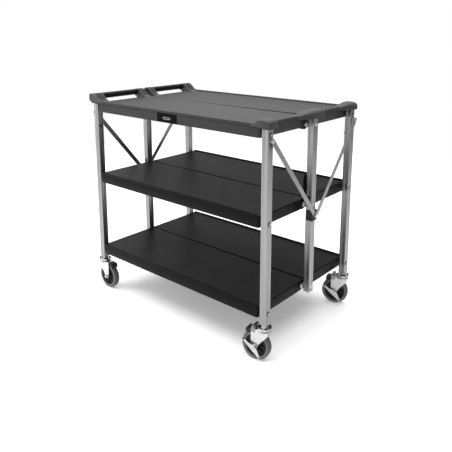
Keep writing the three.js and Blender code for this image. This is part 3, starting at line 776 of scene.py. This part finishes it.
for side, sy in SIDES.items():
    plane = PLANES[side]
    for end, sx in ENDS.items():
        tag, body = f"{end}_{side}", f"{end}_{side}_brace"
        bar = draw(brace_bar, plane).mirror(sx, -sy)
        bar.piece(f"brace_bar_{tag}", body, "brace", f"brace_{tag}", bevel=0.7)
        rivets = draw(brace_rivets, plane, side == "left").mirror(sx, -sy)
        rivets.piece(f"brace_rivets_{tag}", body, "zinc")

for end, sx in ENDS.items():
    sleeve = draw(collar).mirror(sx, 1)
    sleeve.piece(f"collar_sleeve_{end}", f"{end}_collar", "hub", f"collar_{end}", sharp=45)

# ---------- casters, drawn with the swivel axis at zero and the wheel trailing towards +X ----------

# how far each caster is turned about its leg, in degrees
YAW = {"front_right": 190, "front_left": 200, "rear_right": 0, "rear_left": 8}
# how far the axle trails the swivel axis, and the wheel's radius
TRAIL, RADIUS = 35.0, 63.5
AXLE = (TRAIL, RADIUS)


def caster_mount(shape):
    """The flange under the leg, the ball race below it, and the kingpin with its nut."""
    flange = [(0, 147.0), (28.8, 147.0), (30, 147.9), (30, 150.5), (29.2, 151.4), (0, 151.4)]
    shape.lathe("z", (0, 0), flange, 48)
    race = [(0, 140.4), (24, 140.4), (26.6, 141), (28.5, 142.6), (28.8, 144)]
    race += [(27.6, 145.7), (25, 146.7), (0, 147.6)]
    shape.lathe("z", (0, 0), race, 48)
    shape.lathe("z", (0, 0), [(0, 124.2), (4.6, 124.2), (5, 124.8), (5, 141), (0, 141)], 20)
    shape.nut("z", (0, 0), 129.3, -1, 15.5, 5.2)


def caster_plug(shape):
    """The plug that stands in the leg's tube."""
    shape.prism("z", rounded(-12.4, 12.4, -11.4, 11.4, 3, 4), 151.0, 163.0)


def mount_nuts(shape):
    for x in (-18, 18):
        for y in (-17, 17):
            shape.nut("z", (x, y), 151.6, 1, 8.0, 5.0, stud=2.4)


# (height, reach along X) of the edges of the fork's cheek
CHEEK_BACK = (
    (51.5, 24), (60, 23.6), (75, 17.5), (92, 4.0), (104, -8.0), (116, -18.0), (124, -24.0), (140, -27.0),
)
CHEEK_FRONT = (
    (51.5, 46), (60, 46.8), (68, 49.3), (78, 52.0), (88, 53.0), (126, 53.0), (133, 52.0), (140, 49.0),
)


def between_rows(rows, z):
    for (z0, a), (z1, b) in zip(rows, rows[1:]):
        if z <= z1:
            return a + (b - a) * (z - z0) / (z1 - z0)
    return rows[-1][1]


def cheek_range(z):
    """How far the fork's cheek reaches along X at a height. It ends in a round foot at the axle."""
    low, high = between_rows(CHEEK_BACK, z), between_rows(CHEEK_FRONT, z)
    if z < RADIUS:
        half = math.sqrt(max(12.0 ** 2 - (RADIUS - z) ** 2, 0.2))
        low, high = max(low, TRAIL - half), min(high, TRAIL + half)
    return low, high


def caster_fork(shape):
    """One pressed strip: up one cheek, over rounded shoulders, down the other."""
    half, thick, top, shoulder = 22.0, 3.4, 139.4, 7.0
    heights = [51.6, 52.4, 54, 57, 61, 66, 73, 81, 90, 100, 110, 118, 126]
    path = [((-half, z), (-1, 0)) for z in heights]
    for i in range(9):
        a = math.radians(180 - 90 * i / 8)
        path.append(((-half + shoulder + shoulder * math.cos(a), top - shoulder + shoulder * math.sin(a)),
                     (math.cos(a), math.sin(a))))
    path += [((-y, z), (-ny, nz)) for (y, z), (ny, nz) in reversed(path)]
    rings = []
    for (y, z), (ny, nz) in path:
        x0, x1 = cheek_range(z)
        iy, iz = y - ny * thick, z - nz * thick
        rings.append([(x0, y, z), (x1, y, z), (x1, iy, iz), (x0, iy, iz)])
    shape.loft(rings)
    race = [(7, 130.4), (24, 130.4), (27.4, 131.2), (29, 133.4), (29, 136.6)]
    race += [(27.6, 138.8), (25, 139.7), (7, 139.7)]
    shape.lathe("z", (0, 0), race, 48)


# (place along X, height) of the brake drum's axis
DRUM = (43.0, 146.0)


def brake_ears(shape):
    """The two ears over a braked fork's trailing edge, with a rivet on each."""
    for y0, y1 in ((-22.2, -18.4), (18.4, 22.2)):
        shape.prism("y", [(33, 126), (53.2, 126)] + arc(DRUM[0], 142, 9.4, 0, 180, 16), y0, y1)
    for out in (-1, 1):
        shape.bolt("y", DRUM, out * 22.1, out, 5.2, 2.2, socket=0.3)


def brake_drum(shape):
    """The drum between the ears."""
    rows = [(0, -18.2), (8.2, -18.2), (9.2, -17.2), (9.2, 17.2), (8.2, 18.2), (0, 18.2)]
    shape.lathe("y", DRUM, rows, 32)


def fork_foot(shape):
    """A raised boss round each end of the axle."""
    rows = [(6, 21.6), (11.4, 21.6), (11.2, 22.0), (10.6, 22.3), (6, 22.3)]
    for out in (-1, 1):
        shape.lathe("y", AXLE, [(radius, out * y) for radius, y in rows], 32)


def caster_axle(shape):
    for out in (-1, 1):
        face = out * 22.1
        washer = [(4, face), (10.4, face), (10.4, face + out * 1.2), (9.8, face + out * 1.7)]
        shape.lathe("y", AXLE, washer + [(4, face + out * 1.7)], 28)
    shape.nut("y", AXLE, -23.8, -1, 15.4, 5.2, stud=4.6)
    shape.nut("y", AXLE, 23.8, 1, 15.4, 4.1)
    shape.lathe("y", AXLE, [(0, -24), (5.2, -24), (5.2, 24), (0, 24)], 20)


def both_ways(rows):
    """A wheel's profile from its rows on the -Y side, mirrored without repeating a row at zero."""
    far = [(radius, -y) for radius, y in reversed(rows) if y]
    return rows + far


def tread(shape):
    rows = [(49.2, -12.6), (55.6, -13.2), (57.0, -14.6), (59.0, -14.6), (61.2, -13.2)]
    rows += [(62.6, -11.0), (63.3, -7.0), (RADIUS, 0)]
    shape.lathe("y", AXLE, both_ways(rows), 96)


def tyre_sides(shape):
    """The raised band on each side of a tyre. Its lighter rubber paints the highlight on the tyre's sides.
    """
    rows = [(50.2, 13.6), (50.6, 14.3), (52.6, 14.8), (55.6, 14.9), (56.6, 14.2)]
    rows += [(56.6, 12.0), (50.2, 12.0)]
    for out in (-1, 1):
        shape.lathe("y", AXLE, [(radius, out * y) for radius, y in rows], 80)


def hub(shape):
    """The hub's boss, web and rim, with eight spokes."""
    rows = [(6.4, -17), (11.5, -17), (13.2, -16.2), (14.6, -6), (17, -5), (39, -5), (41.4, -6.4)]
    rows += [(43.2, -12.4), (44.6, -13), (48.7, -13), (49.1, -12.5)]
    shape.lathe("y", AXLE, both_ways(rows), 64)
    outline = [(13.4, -11.6), (42.4, -9.6), (42.4, 9.6), (13.4, 11.6)]
    to_axle = Matrix.Translation((TRAIL, 0, RADIUS))
    for i in range(8):
        spoke = shape.prism("z", outline, -1.4, 1.4)
        shape.turn(spoke, to_axle @ Matrix.Rotation(math.radians(45 * i), 4, "Y"))


def guard(shape):
    """The block over the wheel behind the fork, hollow towards the tread."""
    outline = arc(TRAIL, RADIUS, 67.3, 74, 49, 12)
    outline += [(79.6, 129.4), (78.4, 133), (75, 136.4), (71, 137.2), (51.6, 137.2)]
    shape.prism("y", outline, -17.8, 17.8)


def brake(shape):
    """The pedal's plate and its two treads. Its outline is measured from the axle."""
    inner, x, z = 32.1, TRAIL, RADIUS
    outline = [(50, 27), (48.6, 30.6), (41, 30)]
    outline += bezier((41, 30), (30, 20.6), (18, 12.6), (6, 11), 8)
    outline += bezier((6, 11), (-9, 8), (-19, -4), (-23, -20), 8)
    outline += [(-31.6, -34), (-31.6, -38.6), (-23, -40)]
    outline += bezier((-23, -40), (-5, -20), (20, -8), (50, 27), 14)[:-1]
    shape.prism("y", [(x + u, z + v) for u, v in outline], inner, inner + 2.6)
    upper = rounded(x + 39.5, x + 49.8, z + 27.8, z + 30.6, 1.3, 3)
    shape.prism("y", upper, inner + 0.5, inner + 12.6)
    lower = rounded(x - 31.6, x - 22.4, z - 39.8, z - 37.0, 1.3, 3)
    shape.prism("y", lower, inner + 0.5, inner + 10.6)


def brake_pins(shape):
    """The rivets on the pedal's plate and the spacer behind the one at the axle."""
    face = 34.6
    shape.bolt("y", AXLE, face, 1, 6.4, 2.6, socket=0.3)
    shape.bolt("y", (TRAIL - 25, RADIUS - 31), face, 1, 4.6, 2.6, socket=0.3)
    for u, v in ((14, 1), (-11, -15)):
        shape.bolt("y", (TRAIL + u, RADIUS + v), face, 1, 2.8, 1.4, socket=0.3)
    shape.lathe("y", AXLE, [(0, 28.6), (6.6, 28.6), (6.6, 33), (0, 33)], 24)


for end, sx in ENDS.items():
    for side, sy in SIDES.items():
        tag = f"{end}_{side}"
        steady = (0, sx * LEG_X, sy * OUTER_PIN)
        trailing = (YAW[tag], sx * LEG_X, sy * OUTER_PIN)
        fixed, swivel, wheel, pedal = f"{side}_frame", f"{tag}_swivel", f"{tag}_wheel", f"{tag}_brake"
        jobs = [
            (caster_mount, steady, "caster_head", fixed, "zinc", "caster_mount", dict(bevel=0.4, angle=60)),
            (caster_plug, steady, "leg_plug", fixed, "zinc", None, dict(bevel=0.4)),
            (mount_nuts, steady, "mount_nuts", fixed, "hub", None, dict(bevel=0.4)),
            (fork_foot, trailing, "axle_boss", swivel, "zinc", None, {}),
            (caster_fork, trailing, "caster_yoke", swivel, "zinc", "caster_fork", dict(bevel=0.7, angle=60)),
            (caster_axle, trailing, "axle_bolt", swivel, "zinc", "caster_axle", {}),
            (guard, trailing, "thread_guard", swivel, "hub", "caster_guard", dict(bevel=1.2, segments=3)),
            (tread, trailing, "tread_ring", wheel, "tyre", "caster_tyre", dict(sharp=60)),
            (tyre_sides, trailing, "tyre_side_bands", wheel, "tyre_side", None, dict(sharp=60)),
            (hub, trailing, "wheel_centre", wheel, "hub", "caster_hub", {}),
        ]
        if end == "front":
            jobs += [
                (brake_ears, trailing, "brake_ears", swivel, "brace", None, dict(bevel=0.5, angle=60)),
                (brake_drum, trailing, "brake_drum", swivel, "brace", None, dict(bevel=0.5, angle=60)),
                (brake, trailing, "brake_lever", pedal, "zinc", "brake_pedal", dict(bevel=0.9, segments=3)),
                (brake_pins, trailing, "brake_pin", pedal, "zinc", None, {}),
            ]
        for make, place, label, body, look, node, options in jobs:
            nodes = [f"{node}_{tag}"] if node else []
            draw(make).placed(*place).piece(f"{label}_{tag}", body, look, *nodes, **options)

# ---------- floor and light ----------

FLOOR_REACH = 3.4
corners = [(-1, -1), (1, -1), (1, 1), (-1, 1)]
floor_mesh = bpy.data.meshes.new("floor")
floor_mesh.from_pydata([(FLOOR_REACH * x, FLOOR_REACH * y, 0) for x, y in corners], [], [(0, 1, 2, 3)])
floor = bpy.data.objects.new("floor", floor_mesh)
bpy.context.collection.objects.link(floor)
floor_look = Look("pale_floor", specular=0.2)
floor_look.colour(floor_look.mix(floor_look.noise(1.5, 2.0), grey(0.9), grey(0.93)))
floor_look.roughness(floor_look.remap(floor_look.noise(40.0, 3.0), 0.55, 0.65))
floor_look.shader.inputs["Emission Color"].default_value = (1.0, 1.0, 1.0, 1.0)
floor_look.shader.inputs["Emission Strength"].default_value = 0.22
floor.data.materials.append(floor_look.material)


def softbox(name, place, target, size, power, height=None):
    """A soft lamp, aimed at target, that the camera doesn't see."""
    light = bpy.data.lights.new(name, "AREA")
    light.shape = "RECTANGLE"
    light.size = size
    light.size_y = height or size
    light.energy = power
    lamp = bpy.data.objects.new(name, light)
    lamp.location = place
    lamp.rotation_euler = (Vector(target) - Vector(place)).to_track_quat("-Z", "Y").to_euler()
    lamp.visible_camera = False
    bpy.context.collection.objects.link(lamp)


softbox("overhead", (0.0, 0.0, 4.2), (0, 0, 0), 6.0, 300)
softbox("key", (-2.4, -1.6, 2.9), (-0.1, -0.1, 0.8), 1.4, 30)
softbox("side", (-1.7, -1.9, 0.95), (-0.3, -0.3, 0.9), 1.5, 7, 0.8)


# where most of the surrounding light comes from: the cart's rear end
BRIGHT = math.radians(190)


def studio_world():
    """An even white backdrop. The light that it throws is full from the rear and dim from the front."""
    world = bpy.data.worlds.new("studio")
    world.use_nodes = True
    tree = world.node_tree
    nodes, links = tree.nodes, tree.links
    around = nodes.new("ShaderNodeTexCoord")
    facing = nodes.new("ShaderNodeVectorMath")
    facing.operation = "DOT_PRODUCT"
    facing.inputs[1].default_value = (math.cos(BRIGHT), math.sin(BRIGHT), 0.0)
    dimmed = nodes.new("ShaderNodeMapRange")
    for socket, value in (("From Min", -0.6), ("From Max", 0.5), ("To Min", 0.3), ("To Max", 1.0)):
        dimmed.inputs[socket].default_value = value
    seen = nodes.new("ShaderNodeLightPath")
    backdrop = nodes.new("ShaderNodeBackground")
    lighting = nodes["Background"]
    lighting.inputs["Color"].default_value = (1, 1, 1, 1)
    backdrop.inputs["Color"].default_value = (1, 1, 1, 1)
    choice = nodes.new("ShaderNodeMixShader")
    links.new(around.outputs["Generated"], facing.inputs[0])
    links.new(facing.outputs["Value"], dimmed.inputs["Value"])
    links.new(dimmed.outputs["Result"], lighting.inputs["Strength"])
    links.new(seen.outputs["Is Camera Ray"], choice.inputs[0])
    links.new(lighting.outputs[0], choice.inputs[1])
    links.new(backdrop.outputs[0], choice.inputs[2])
    links.new(choice.outputs[0], nodes["World Output"].inputs["Surface"])
    return world


bpy.context.scene.world = studio_world()
bpy.context.scene.view_settings.view_transform = "Standard"
